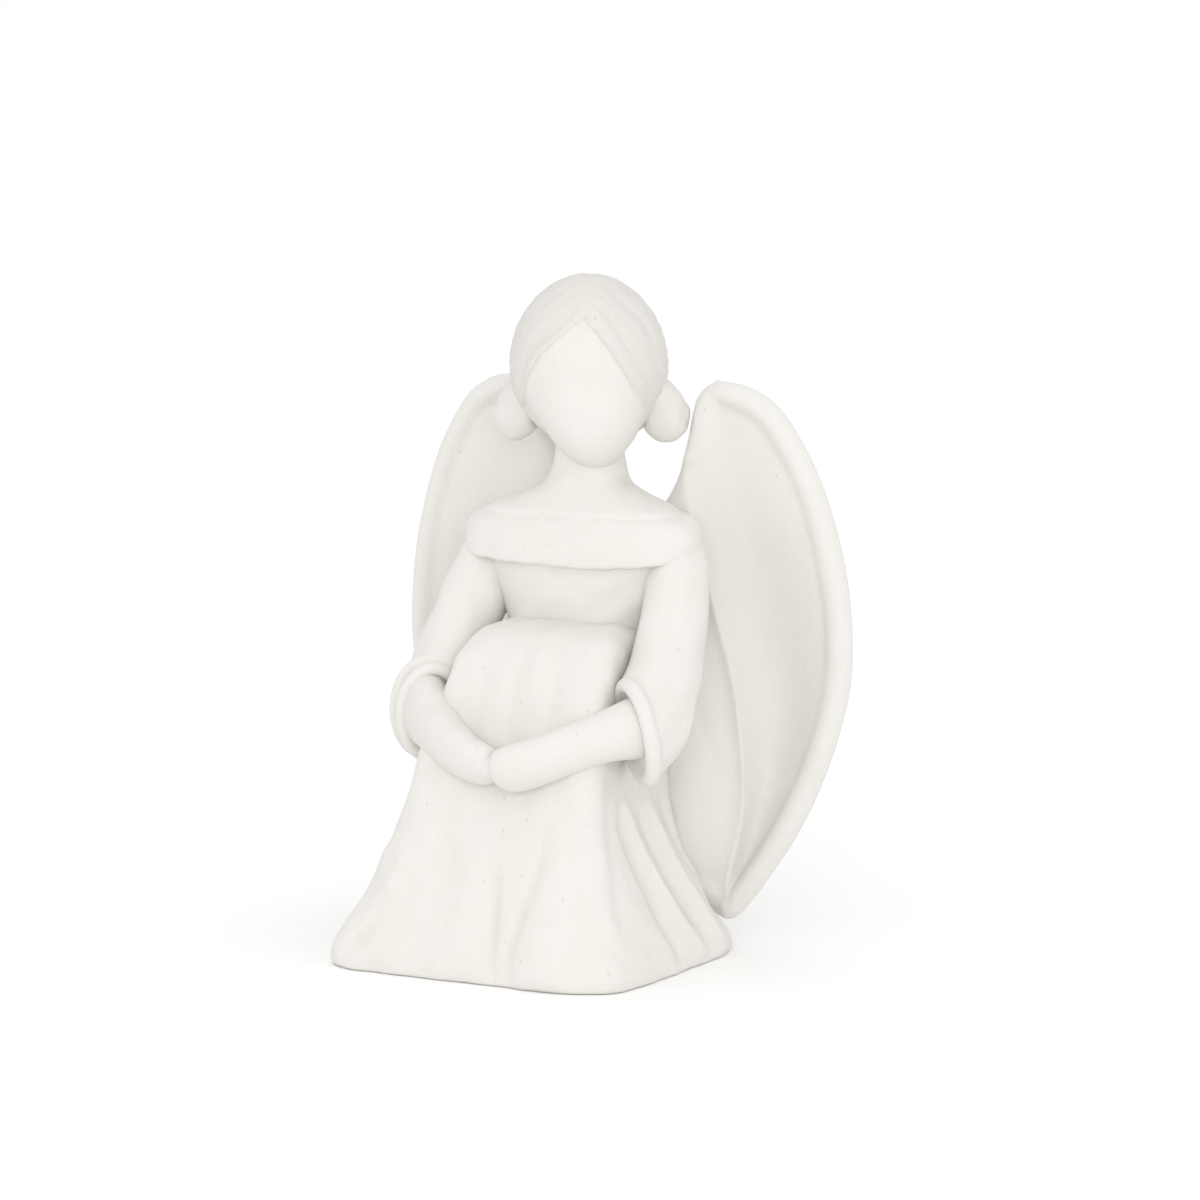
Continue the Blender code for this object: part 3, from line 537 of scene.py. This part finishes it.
def torso_field(block):
    x, y, z = block.x, block.y, block.z
    middle, half_x, half_y = read(TORSO, z)
    skin = oval_section(x, y - middle, half_x, half_y, SKIN_SQUARENESS)
    front = np.clip((COLLAR_DIP_Y - y) / COLLAR_DIP_RUN, 0.0, 1.0) ** 2
    middle, half_x, half_y = read(COLLAR, z + COLLAR_DIP_LOW * front)
    band = oval_section(x, y - middle, half_x, half_y, COLLAR_SQUARENESS)
    low = COLLAR_LOW - z - COLLAR_DIP_LOW * front - COLLAR_WAVE * np.sin(x / COLLAR_WAVE_LOW)
    high = z + COLLAR_DIP_HIGH * front - COLLAR_HIGH - COLLAR_WAVE * np.sin(x / COLLAR_WAVE_HIGH + 1.0)
    band = smooth_max(band - COLLAR_SWELL, high, COLLAR_TOP_BLEND)
    band = smooth_max(band, low, COLLAR_FOOT_BLEND)
    skin = skin - dents(x, y, z, TORSO_DENTS)
    skin = skin + COLLAR_GROOVE * hump(high - COLLAR_GROOVE_PLACE, COLLAR_GROOVE_WIDTH)
    band = band - dents(x, y, z, COLLAR_DENTS)
    return np.maximum(smooth_min(skin, band, COLLAR_SEAM), BODICE_FOOT - z)


def head_frame(block):
    """The block's points in the head's own frame, which is turned to the figure's left."""
    c, s = math.cos(HEAD_TURN), math.sin(HEAD_TURN)
    return block.x * c + block.y * s, -block.x * s + block.y * c, block.z


def skull_field(x, y, z):
    middle = np.interp(z, *zip(*HAIR_MIDDLE_Y))
    upper = ellipsoid(x, y - middle, z, (0, 0, HAIR_MIDDLE_Z), HAIR_HALF_UP)
    lower = ellipsoid(x, y - middle, z, (0, 0, HAIR_MIDDLE_Z), HAIR_HALF_DOWN)
    return np.where(z > HAIR_MIDDLE_Z, upper, lower)


def face_field(x, y, z):
    """An egg that narrows and leans below its middle."""
    above = z - FACE_MIDDLE[2]
    low = (above - np.sqrt(above**2 + FACE_TAPER_BLEND**2)) / 2
    narrow = 1 + FACE_TAPER * low / FACE_HALF[2]
    leaning_x, leaning_y = (x + FACE_LEAN[0] * low) / narrow, y - FACE_LEAN[1] * low
    return ellipsoid(leaning_x, leaning_y, z, FACE_MIDDLE, FACE_HALF) - dents(x, y, z, FACE_DENTS)


def combed_strands(x, y, z, edge):
    """Strands that follow the hairline in front and run round the head behind."""
    wander = dents(x, y, z, STRAND_WANDER)
    front = np.sin(math.tau * edge / STRAND_SPACING + wander)
    back = np.sin(math.tau * (z + BACK_STRAND_FALL * np.abs(x)) / BACK_STRAND_SPACING + wander)
    near, far = STRANDS_MEET
    return front * step(far, near, y) + back * step(near, far, y)


def head_field(block):
    """The head's field, and how much of it is hair, which sets the painted shade on the hair."""
    x, y, z = head_frame(block)
    skull = skull_field(x, y, z)
    halves = [catmull_rom(half, HAIRLINE_STEPS) for half in (HAIRLINE_RIGHT, HAIRLINE_LEFT)]
    hairline = np.concatenate((halves[0], halves[1][1:]))
    edge, _ = line_distance(hairline, x, z)
    inside = z < np.interp(x, hairline[:, 0], hairline[:, 1])
    opening = smooth_max(np.where(inside, -edge, edge), y - OPENING_BACK_Y, OPENING_BLEND)
    strands = STRAND_HEIGHT * combed_strands(x, y, z, edge) * step(*STRAND_START, edge)
    hair = skull - strands - dents(x, y, z, HAIR_DENTS)
    part, part_place = line_distance(PARTING, x, y, z)
    hair = hair + PARTING_DEPTH * hump(part, PARTING_WIDTH) * np.sqrt(np.sin(math.pi * part_place))
    hair = hair - relief(HAIR_CREASES, x, z) * step(*CREASES_FRONT[::-1], y)
    hair = smooth_max(hair, -opening, HAIR_EDGE_BLEND)
    base = smooth_min(face_field(x, y, z), skull + SKULL_INSET, SKULL_BLEND)
    return smooth_min(base, hair, HAIR_SEAM), step(*HAIR_SHADE_EDGE, hair - base)


def bun_field(block, side):
    x, y, z = head_frame(block)
    middle = (side * BUN_MIDDLE[0], *BUN_MIDDLE[1:])
    ball = ellipsoid(x, y, z, middle, BUN_HALF)
    around = np.arctan2(z - middle[2], y - middle[1])
    out = np.sqrt((z - middle[2]) ** 2 + (y - middle[1]) ** 2)
    coil = np.sin(around + math.tau * out / BUN_COIL_SPACING)
    stem = ellipsoid(x, y, z, (side * BUN_STEM_MIDDLE[0], *BUN_STEM_MIDDLE[1:]), BUN_STEM_HALF)
    ball = ball + BUN_COIL * coil * step(0.0, BUN_COIL_START, out) - dents(x, y, z, BUN_DENTS, side)
    return smooth_min(ball, stem, BUN_STEM_BLEND)


def cuff_frame(block, sleeve, side):
    """Along, across and up from the middle of the cuff's opening."""
    ahead = normalised(np.array(CUFF_FACING))
    up = np.array(LIMB_UP)
    up = normalised(up - (ahead @ up) * ahead)
    across = np.cross(ahead, up)
    offset = [v - m for v, m in zip((block.x * side, block.y, block.z), sleeve[-1][:3])]
    return [sum(o * a for o, a in zip(offset, way)) for way in (ahead, across, up)]


def sleeve_field(block, word, side):
    x, y, z = block.x * side, block.y, block.z
    sleeve = SLEEVES[word]
    half_wide, half_high = sleeve[-1][3:5]
    along, across, up = cuff_frame(block, sleeve, side)
    outer = swept(block, sleeve, side) - dents(x, y, z, SLEEVE_DENTS, side) - relief(ELBOW_WRINKLES, x, y, z)
    outer = smooth_max(outer, along, CUFF_END_BLEND)
    for back, radius, outside in CUFF_ROLLS[word]:
        ring = oval_section(across, up, half_wide + outside, half_high + outside)
        roll = np.sqrt(ring**2 + (along + back) ** 2) - radius
        outer = smooth_min(outer, roll, CUFF_ROLL_BLEND)
    mouth_wide, mouth_high = half_wide - CUFF_WALL, half_high - CUFF_WALL - CUFF_SOLE / 2
    mouth = oval_section(across, up - CUFF_SOLE / 2, mouth_wide, mouth_high)
    dish = smooth_max(mouth, -CUFF_HOLLOW - along, CUFF_DISH_BLEND)
    outer = smooth_max(outer, -dish, CUFF_LIP_BLEND)
    return np.maximum(outer, z - SLEEVE_TOP)


def hand_field(block, word, side):
    x, y, z = block.x * side, block.y, block.z
    field = swept(block, HANDS[word], side) - dents(x, y, z, HAND_DENTS, side)
    return np.maximum(field, x - HAND_START)


def outline_distance(outline, span, height):
    """Distance from the wing's outline in its own plane, negative inside."""
    points = catmull_rom((*outline, outline[0]), OUTLINE_STEPS)
    far, _ = line_distance(points, span, height)
    inside = np.zeros(far.shape, bool)
    for (s0, z0), (s1, z1) in zip(points, points[1:]):
        if z0 == z1:
            continue
        beside = span < s0 + (height - z0) * (s1 - s0) / (z1 - z0)
        inside ^= ((height < z0) != (height < z1)) & beside
    return np.where(inside, -far, far)


def wing_front(span, height, rim):
    """How far the wing's front lies behind the plane of its rim: a bowl, a ridge and an inner panel."""
    (ridge,) = read(WING_RIDGE, height)
    (bowl,) = read(WING_BOWL, height)
    outer_line = catmull_rom(WING_OUTLINE[: WING_OUTER_POINTS - 1], OUTER_STEPS)
    outer = np.interp(height, outer_line[::-1, 1], outer_line[::-1, 0]) - WING_RIM_WIDTH
    share = np.clip((span - ridge) / np.maximum(outer - ridge, WING_BOWL_LEAST), 0.0, 1.0)
    front = bowl * np.sin(math.pi * share**WING_BOWL_LEAN) ** WING_BOWL_ROUND
    inward = ridge - span
    grown = step(*WING_RIDGE_FADE, height)
    ledge, ledge_width = WING_RIDGE_STEP
    panel = ledge * step(0.0, ledge_width, inward) - WING_PANEL_RISE * step(*WING_PANEL_SPAN, inward)
    front = front + panel * grown
    front = front - WING_RIDGE_HEIGHT * hump(inward, WING_RIDGE_WIDTH) * grown
    rise_in, rise_out = WING_RIM_SLOPE
    front = front + WING_RIM_STEP * step(WING_RIM_WIDTH - rise_in, WING_RIM_WIDTH + rise_out, rim)
    groove, groove_place = line_distance(WING_GROOVE, span, height)
    front = front + WING_GROOVE_DEPTH * hump(groove, WING_GROOVE_WIDTH) * np.sin(math.pi * groove_place)
    return front + dents(span, 0 * span, height * WING_TALL, WING_FRONT_DENTS)


def wing_field(outline, span, depth, height):
    """depth runs backward from the plane of the rim."""
    edge = outline_distance(outline, span, height)
    rim_line = catmull_rom(outline[-2:] + outline[:WING_OUTER_POINTS], RIM_STEPS)
    rim, rim_place = line_distance(rim_line, span, height)
    front = wing_front(span, height, rim)
    thickness = WING_THICK + (WING_THIN - WING_THICK) * step(*WING_THIN_SPAN, span)
    back = np.maximum(front, 0.0) + thickness + dents(span, 0 * span, height, WING_BACK_DENTS)
    slope = np.sqrt(1 + np.gradient(front, span.ravel()[1] - span.ravel()[0], axis=0) ** 2)
    shell = smooth_max((front - depth) / slope, (depth - back) / slope, WING_SHELL_BLEND)
    shell = smooth_max(shell, edge - WING_EDGE_OUT, WING_EDGE_BLEND)
    taper = step(0.0, WING_RIM_START, rim_place) * step(1.0, WING_RIM_END, rim_place)
    inward = np.where(edge < 0, rim, -rim) - WING_RIM_MIDDLE
    ring = np.sqrt(inward**2 + (depth - WING_RIM_RADIUS + WING_RIM_FORWARD) ** 2)
    return smooth_min(shell, ring - WING_RIM_RADIUS + WING_RIM_SINK * (1 - taper), WING_RIM_BLEND)


def wing_mesh(name, side):
    """Sampled in the wing's own plane, then turned to its place."""
    block = Block(*WING_BLOCK, COARSE)
    outline = WING_OUTLINE if side > 0 else WING_OUTLINE[: -len(RIGHT_WING_INNER)] + RIGHT_WING_INNER
    mesh = block.mesh(name, wing_field(outline, block.x, block.y, block.z))
    c, s = math.cos(WING_SWEEP), math.sin(WING_SWEEP)
    co = np.empty(len(mesh.vertices) * 3)
    mesh.vertices.foreach_get("co", co)
    co = co.reshape(-1, 3)
    span, depth = co[:, 0].copy(), co[:, 1] - AXIS_Y * MM
    co[:, 0] = side * (span * c - depth * s)
    co[:, 1] = (WING_FRONT_Y + AXIS_Y) * MM + span * s + depth * c
    mesh.vertices.foreach_set("co", co.ravel())
    if side < 0:
        mesh.flip_normals()
    mesh.update()
    return mesh


class Nodes:
    """Short calls for building a material's node tree."""

    def __init__(self, name):
        self.material = bpy.data.materials.new(name)
        self.material.use_nodes = True
        self.tree = self.material.node_tree
        self.shader = self.tree.nodes["Principled BSDF"]

    def node(self, kind, inputs=None, **settings):
        node = self.tree.nodes.new(kind)
        for key, value in settings.items():
            setattr(node, key, value)
        for key, value in (inputs or {}).items():
            self.put(value, node.inputs[key])
        return node

    def put(self, value, socket):
        if hasattr(value, "is_output"):
            self.tree.links.new(value, socket)
        else:
            socket.default_value = value

    def place(self, scale):
        """Coordinates in the row's frame, in units of 1 / scale metres."""
        where = self.node("ShaderNodeTexCoord").outputs["Object"]
        return self.node("ShaderNodeMapping", {"Vector": where, "Scale": scale}).outputs["Vector"]

    def noise(self, scale, detail=3.0, roughness=0.55):
        inputs = {"Vector": self.place(scale), "Scale": 1.0, "Detail": detail, "Roughness": roughness}
        return self.node("ShaderNodeTexNoise", inputs).outputs["Fac"]

    def remap(self, value, low, high, to_low=0.0, to_high=1.0):
        inputs = {"Value": value, "From Min": low, "From Max": high, "To Min": to_low, "To Max": to_high}
        return self.node("ShaderNodeMapRange", inputs).outputs["Result"]

    def math(self, operation, a, b=0.0):
        node = self.node("ShaderNodeMath", operation=operation)
        self.put(a, node.inputs[0])
        self.put(b, node.inputs[1])
        return node.outputs[0]

    def mix(self, share, a, b):
        node = self.node("ShaderNodeMix", data_type="RGBA")
        self.put(share, node.inputs["Factor"])
        self.put(a, node.inputs[6])
        self.put(b, node.inputs[7])
        return node.outputs[2]

    def part(self, share, mask):
        """A mask held to a share of its strength."""
        return self.math("MULTIPLY", mask, share)

    def attribute(self, name):
        return self.node("ShaderNodeAttribute", attribute_name=name).outputs["Fac"]

    def bump(self, height, strength, distance, under=None):
        inputs = {"Height": height, "Strength": strength, "Distance": distance}
        if under is not None:
            inputs["Normal"] = under
        return self.node("ShaderNodeBump", inputs).outputs["Normal"]


def pinholes(n):
    """A mask of small round pits, found only in places."""
    cells = {"Vector": n.place(PIT_SCALE), "Scale": 1.0}
    pit = n.remap(n.node("ShaderNodeTexVoronoi", cells).outputs["Distance"], *PIT_RANGE)
    return n.math("MULTIPLY", pit, n.remap(n.noise(PIT_CLUSTER_SCALE, 1.0), *PIT_CLUSTER_RANGE))


def resin_material():
    """Matte painted stone-resin with brushed streaks and pinholes; painted shade in hollows, corners,
    pinholes and hair, a painted highlight on ridges.
    """
    n = Nodes("painted_resin")
    blotches = n.remap(n.noise(BLOTCH_SCALE, 4.0), *BLOTCH_RANGE)
    streaks = n.remap(n.noise(STREAK_SCALE), *STREAK_RANGE)
    fine = n.noise(FINE_SCALE, 2.0)
    # painted shade darkens the hair and buns
    colour = n.mix(n.part(HAIR_SHADE_SHARE, n.attribute("hair_shade")), RESIN_PALE, HAIR_PAINTED_SHADE)
    colour = n.mix(n.part(BLOTCH_SHARE, blotches), colour, RESIN_WARM)
    colour = n.mix(n.part(STREAK_SHARE, streaks), colour, RESIN_WARM)
    # painted shade darkens the creases, where the hollow attribute is above 0
    hollow = n.remap(n.attribute("hollow"), *CREASE_SHADE_RANGE)
    # a painted highlight lightens convex edges and ridges, where the hollow attribute is below 0
    edge = n.remap(n.attribute("hollow"), *RIDGE_HIGHLIGHT_RANGE)
    colour = n.mix(n.part(CREASE_SHADE_SHARE, hollow), colour, PAINTED_SHADE_COLOUR)
    colour = n.mix(n.part(RIDGE_HIGHLIGHT_SHARE, edge), colour, PAINTED_HIGHLIGHT_COLOUR)
    # painted shade in corners and under parts such as the chin, found by ambient occlusion
    near = n.node("ShaderNodeAmbientOcclusion", {"Distance": CORNER_SHADE_DISTANCE}, samples=8).outputs["AO"]
    colour = n.mix(n.remap(near, *CORNER_SHADE_RANGE, 0.0, CORNER_SHADE_SHARE), colour, PAINTED_SHADE_COLOUR)
    pit = pinholes(n)
    # painted shade darkens the pinholes, which the bump below also sinks
    colour = n.mix(n.part(PIT_SHADE_SHARE, pit), colour, PAINTED_SHADE_COLOUR)
    n.put(colour, n.shader.inputs["Base Color"])
    n.put(n.remap(fine, *GRAIN_RANGE, *RESIN_ROUGHNESS), n.shader.inputs["Roughness"])
    n.shader.inputs["Specular IOR Level"].default_value = 0.3
    normal = n.bump(n.noise(BRUSH_SCALE), *BRUSH_BUMP)
    normal = n.bump(n.noise(DAB_SCALE), *DAB_BUMP, normal)
    normal = n.bump(fine, *FINE_BUMP, normal)
    normal = n.bump(n.math("SUBTRACT", 1.0, pit), *PIT_BUMP, normal)
    n.put(normal, n.shader.inputs["Normal"])
    return n.material


def felt_material():
    n = Nodes("felt")
    fibres = n.noise(FIBRE_SCALE, 4.0, 0.7)
    n.put(n.mix(n.remap(fibres, *FIBRE_RANGE), FELT_DARK, FELT_PALE), n.shader.inputs["Base Color"])
    n.shader.inputs["Roughness"].default_value = 0.95
    n.put(n.bump(fibres, *FIBRE_BUMP), n.shader.inputs["Normal"])
    return n.material


def steel_material():
    n = Nodes("dowel_steel")
    turned = n.noise(TURNING_SCALE, 2.0)
    n.put(n.mix(turned, STEEL_DARK, STEEL_PALE), n.shader.inputs["Base Color"])
    n.put(n.remap(turned, *GRAIN_RANGE, *STEEL_ROUGHNESS), n.shader.inputs["Roughness"])
    n.shader.inputs["Metallic"].default_value = 1.0
    return n.material


def cast(mesh, node, resin):
    """A sculpted casting in place of its CAD node, named like its mesh."""
    piece = bpy.data.objects.new(mesh.name, mesh)
    bpy.context.scene.collection.objects.link(piece)
    mesh.materials.append(resin)
    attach(piece, "root")
    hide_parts(node)


def bun_block(node):
    low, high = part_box(node)
    centre = (low + high) / 2 / MM
    centre.y -= AXIS_Y
    return Block(centre - BUN_BELOW, centre + BUN_ABOVE, FINE)


def arm_block(corners, side, pitch):
    """The left arm's block, or its mirror image for the right arm."""
    low, high = corners
    start, end = sorted((side * low[0], side * high[0]))
    return Block((start, *low[1:]), (end, *high[1:]), pitch)


def make_castings(resin):
    block = Block(*GOWN_BLOCK, COARSE)
    cast(block.mesh("gown_casting", gown_field(block)), "gown", resin)
    block = Block(*BODICE_BLOCK, MEDIUM)
    cast(block.mesh("bodice_casting", torso_field(block)), "bodice", resin)
    block = Block(*HEAD_BLOCK, FINE)
    cast(block.mesh("head_casting", *head_field(block)), "head", resin)
    for word, side in (("left", 1), ("right", -1)):
        block = bun_block(f"{word}_hair_bun")
        mesh = block.mesh(f"{word}_bun_casting", bun_field(block, side), BUN_HAIR_SHADE)
        cast(mesh, f"{word}_hair_bun", resin)
        block = arm_block(SLEEVE_BLOCK, side, MEDIUM)
        cast(block.mesh(f"{word}_sleeve_casting", sleeve_field(block, word, side)), f"{word}_sleeve", resin)
        block = arm_block(HAND_BLOCK, side, FINE)
        cast(block.mesh(f"{word}_hand_casting", hand_field(block, word, side)), f"{word}_hand", resin)
        cast(wing_mesh(f"{word}_wing_casting", side), f"{word}_wing", resin)


def finish_cad_nodes(nodes):
    """The felt pads and the hidden pins keep their CAD shapes."""
    felt, steel = felt_material(), steel_material()
    for name, node in nodes.items():
        if "pad" in name or "dowel" in name:
            node.data.materials.clear()
            node.data.materials.append(felt if "pad" in name else steel)


def make_camera():
    turn, rise = CAMERA_TURN, CAMERA_RISE
    right = Vector((math.cos(turn), math.sin(turn), 0.0))
    back = Vector((math.sin(turn) * math.cos(rise), -math.cos(turn) * math.cos(rise), math.sin(rise)))
    data = bpy.data.cameras.new("camera")
    data.lens = CAMERA_LENS
    data.sensor_width = CAMERA_SENSOR
    data.clip_start = CAMERA_CLIP
    camera = bpy.data.objects.new("camera", data)
    camera.location = Vector((0.0, AXIS_Y * MM, LOOK_HEIGHT)) + right * LOOK_ASIDE + back * CAMERA_AWAY
    camera.rotation_euler = back.to_track_quat("Z", "Y").to_euler()
    bpy.context.scene.collection.objects.link(camera)
    bpy.context.scene.camera = camera


def make_floor():
    half = FLOOR_HALF
    corners = [(-half, -half, 0), (half, -half, 0), (half, half, 0), (-half, half, 0)]
    mesh = bpy.data.meshes.new("floor")
    mesh.from_pydata(corners, [], [(0, 1, 2, 3)])
    n = Nodes("floor")
    n.put(n.mix(n.noise(FLOOR_SCALE), FLOOR_DARK, FLOOR_PALE), n.shader.inputs["Base Color"])
    n.shader.inputs["Roughness"].default_value = 0.9
    n.shader.inputs["Specular IOR Level"].default_value = 0.1
    mesh.materials.append(n.material)
    floor = bpy.data.objects.new("floor", mesh)
    bpy.context.scene.collection.objects.link(floor)


def make_room():
    """White all round to the camera, and as light a white room that is dimmer behind the figure."""
    world = bpy.data.worlds.new("studio")
    world.use_nodes = True
    tree = world.node_tree
    node, link = tree.nodes.new, tree.links.new
    seen, room = tree.nodes["Background"], node("ShaderNodeBackground")
    seen.inputs["Color"].default_value = (1.0, 1.0, 1.0, 1.0)
    seen.inputs["Strength"].default_value = 1.0
    room.inputs["Color"].default_value = (1.0, 1.0, 1.0, 1.0)
    facing = node("ShaderNodeVectorMath")
    facing.operation = "DOT_PRODUCT"
    facing.inputs[1].default_value = ROOM_BRIGHT_SIDE
    link(node("ShaderNodeTexCoord").outputs["Generated"], facing.inputs[0])
    strength = node("ShaderNodeMapRange")
    for socket, value in zip(strength.inputs[1:5], (*ROOM_REACH, *ROOM_STRENGTH)):
        socket.default_value = value
    link(facing.outputs["Value"], strength.inputs["Value"])
    link(strength.outputs["Result"], room.inputs["Strength"])
    chosen = node("ShaderNodeMixShader")
    link(node("ShaderNodeLightPath").outputs["Is Camera Ray"], chosen.inputs["Fac"])
    link(room.outputs["Background"], chosen.inputs[1])
    link(seen.outputs["Background"], chosen.inputs[2])
    link(chosen.outputs["Shader"], tree.nodes["World Output"].inputs["Surface"])
    bpy.context.scene.world = world


def make_key():
    """One broad lamp in front of the figure, to its left."""
    data = bpy.data.lights.new("key", "AREA")
    data.shape = "DISK"
    data.size = KEY_SIZE
    data.energy = KEY_POWER
    light = bpy.data.objects.new("key", data)
    light.location = KEY_PLACE
    aim = Vector((0.0, AXIS_Y * MM, KEY_AIM))
    light.rotation_euler = (Vector(KEY_PLACE) - aim).to_track_quat("Z", "Y").to_euler()
    bpy.context.scene.collection.objects.link(light)


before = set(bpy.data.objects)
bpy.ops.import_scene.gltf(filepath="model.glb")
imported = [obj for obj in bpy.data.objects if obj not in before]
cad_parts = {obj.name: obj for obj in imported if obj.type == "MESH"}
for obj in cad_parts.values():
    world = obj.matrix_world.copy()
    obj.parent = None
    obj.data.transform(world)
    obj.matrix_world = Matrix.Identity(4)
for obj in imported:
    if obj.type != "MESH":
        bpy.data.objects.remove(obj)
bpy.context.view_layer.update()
AXIS_Y = sum(corner.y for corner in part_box("neck_dowel")) / 2 / MM  # the torso axis's place in the row

make_camera()
make_floor()
make_room()
make_key()
bpy.context.scene.view_settings.view_transform = "Standard"
bpy.context.scene.view_settings.look = "None"
make_castings(resin_material())
finish_cad_nodes(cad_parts)
